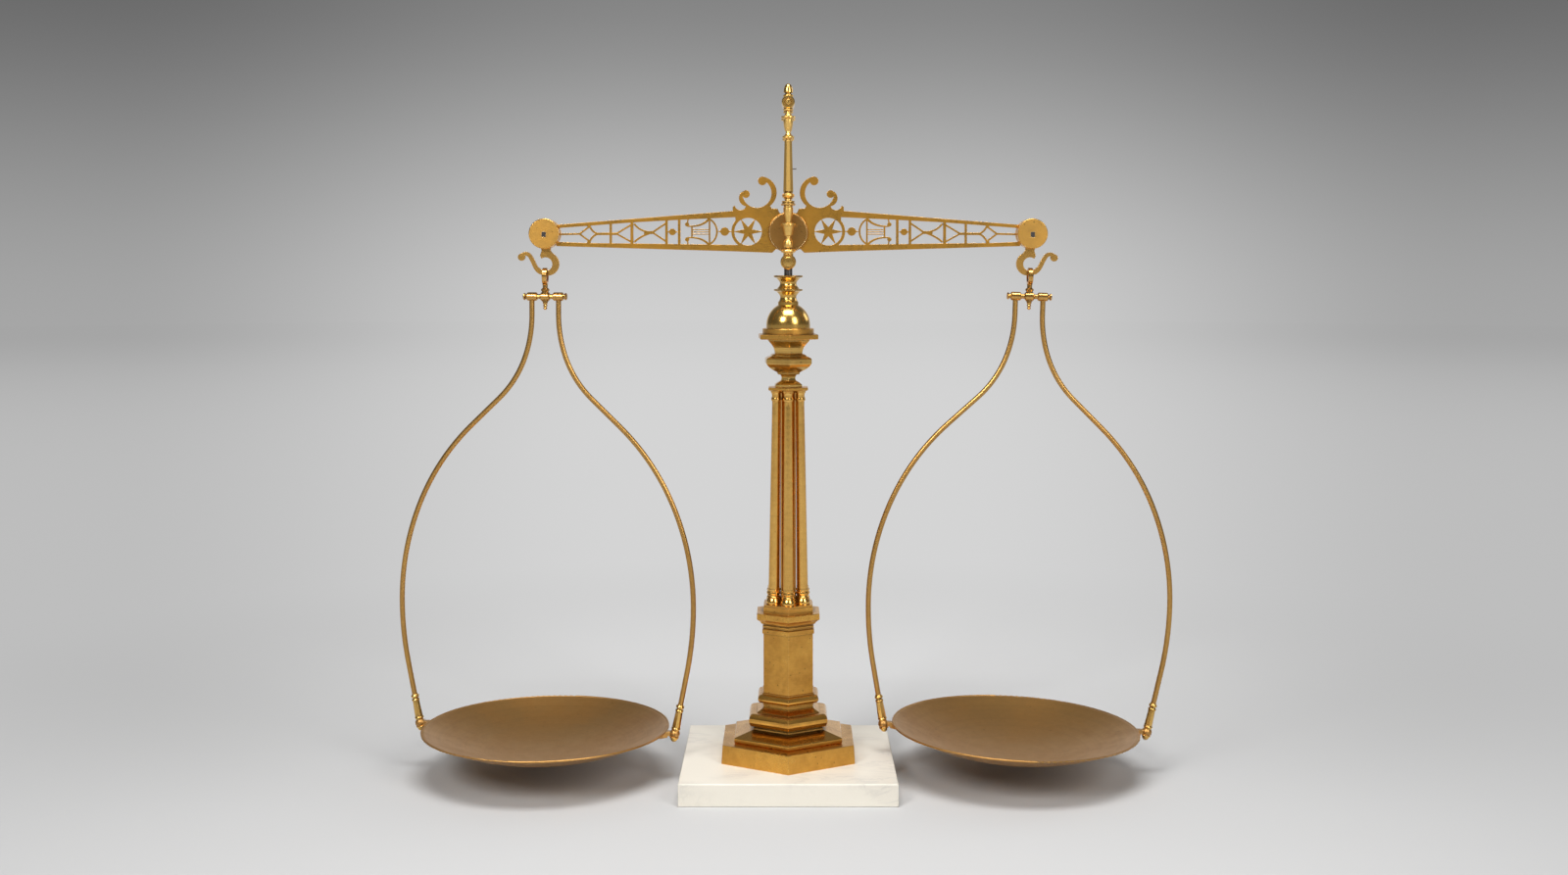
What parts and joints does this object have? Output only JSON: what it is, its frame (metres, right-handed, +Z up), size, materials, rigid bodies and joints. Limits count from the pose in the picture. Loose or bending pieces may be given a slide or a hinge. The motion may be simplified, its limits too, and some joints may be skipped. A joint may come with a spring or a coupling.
{
  "type": "balance scale",
  "caption": "Beam balance scale with a pierced brass beam on a hexagonal column and marble base, with round pans hung from hooks, swivels and curved bow rods.",
  "frame": {"origin": "centre of the marble slab's underside, on the column's axis; the box's bottom centre lies 5 mm from it along X, because the right side hangs leaning 1.8 degrees", "axes": "+Z up along the column; +X along the beam towards the right pan; -Y is the front, towards the viewer"},
  "size_m": [0.7937, 0.251, 0.7048],
  "materials": {
    "lacquered_brass": "satin, lightly tarnished",
    "polished_brass": "polished",
    "pan_bronze": "matte, brushed and tarnished",
    "steel": "dark, oiled",
    "marble": "honed white marble"
  },
  "bodies": {
    "stand": {"marble_base": "marble", "foot_plate": "lacquered_brass", "plinth": "lacquered_brass", "pedestal": "lacquered_brass", "pedestal_cap": "lacquered_brass", "column_core": "lacquered_brass", "colonnettes": "lacquered_brass", "capital_plate": "lacquered_brass", "urn": "polished_brass", "gallery_plate": "polished_brass", "dome": "polished_brass", "collar": "polished_brass", "tie_rod": "steel", "tie_nut": "steel", "lower_boss": "lacquered_brass", "upper_boss": "lacquered_brass", "lower_boss_screws": "lacquered_brass", "upper_boss_screws": "lacquered_brass", "shear_front": "polished_brass", "shear_back": "polished_brass", "bearing_front": "steel", "bearing_back": "steel", "index_pin": "steel", "acorn_finial": "polished_brass"},
    "beam": {"beam_plate": "lacquered_brass", "disc_front": "lacquered_brass", "disc_back": "lacquered_brass", "centre_knife": "steel", "pointer": "steel", "end_box_left": "lacquered_brass", "end_box_right": "lacquered_brass", "end_knife_left": "steel", "end_knife_right": "steel"},
    "left_hook": {"hook_left": "lacquered_brass", "hook_bearing_left": "steel"},
    "left_eye": {"eye_left": "polished_brass", "drop_nut_left": "polished_brass"},
    "left_crossbar": {"crossbar_left": "polished_brass", "end_knobs_left": "polished_brass"},
    "left_pan": {"barrels_left": "polished_brass", "bow_outer_left": "lacquered_brass", "bow_inner_left": "lacquered_brass", "sockets_left": "polished_brass", "pan_nuts_left": "polished_brass", "lugs_left": "pan_bronze", "pan_left": "pan_bronze"},
    "right_hook": {"hook_right": "lacquered_brass", "hook_bearing_right": "steel"},
    "right_eye": {"eye_right": "polished_brass", "drop_nut_right": "polished_brass"},
    "right_crossbar": {"crossbar_right": "polished_brass", "end_knobs_right": "polished_brass"},
    "right_pan": {"barrels_right": "polished_brass", "bow_outer_right": "lacquered_brass", "bow_inner_right": "lacquered_brass", "sockets_right": "polished_brass", "pan_nuts_right": "polished_brass", "lugs_right": "pan_bronze", "pan_right": "pan_bronze"}
  },
  "joints": [
    {"name": "beam_tilt", "type": "hinge", "parent": "stand", "child": "beam", "pos_m": [0, 0, 0.5537], "axis": [0, 1, 0], "range_deg": [-2.5, 2.5]},
    {"name": "left_hook_swing", "type": "hinge", "parent": "beam", "child": "left_hook", "pos_m": [-0.2473, 0, 0.5522], "axis": [0, 1, 0], "range_deg": [-2.5, 2.5]},
    {"name": "left_eye_sway", "type": "hinge", "parent": "left_hook", "child": "left_eye", "pos_m": [-0.2473, 0, 0.50902], "axis": [1, 0, 0], "range_deg": [-3, 3]},
    {"name": "left_swivel", "type": "hinge", "parent": "left_eye", "child": "left_crossbar", "pos_m": [-0.2473, 0, 0.4883], "axis": [0, 0, 1], "range_deg": [-20, 20]},
    {"name": "left_bow_hinge", "type": "hinge", "parent": "left_crossbar", "child": "left_pan", "pos_m": [-0.2473, 0, 0.4883], "axis": [0.9877, -0.1564, 0], "range_deg": [-8, 8]},
    {"name": "right_hook_swing", "type": "hinge", "parent": "beam", "child": "right_hook", "pos_m": [0.2473, 0, 0.5522], "axis": [0, 1, 0], "range_deg": [-2.5, 2.5]},
    {"name": "right_eye_sway", "type": "hinge", "parent": "right_hook", "child": "right_eye", "pos_m": [0.24594, 0, 0.50905], "axis": [0.9995, 0, -0.0314], "range_deg": [-3, 3]},
    {"name": "right_swivel", "type": "hinge", "parent": "right_eye", "child": "right_crossbar", "pos_m": [0.24529, 0, 0.48833], "axis": [0.0314, 0, 0.9995], "range_deg": [-20, 20]},
    {"name": "right_bow_hinge", "type": "hinge", "parent": "right_crossbar", "child": "right_pan", "pos_m": [0.24529, 0, 0.48833], "axis": [0.9995, 0, -0.0314], "range_deg": [-8, 8]}
  ]
}
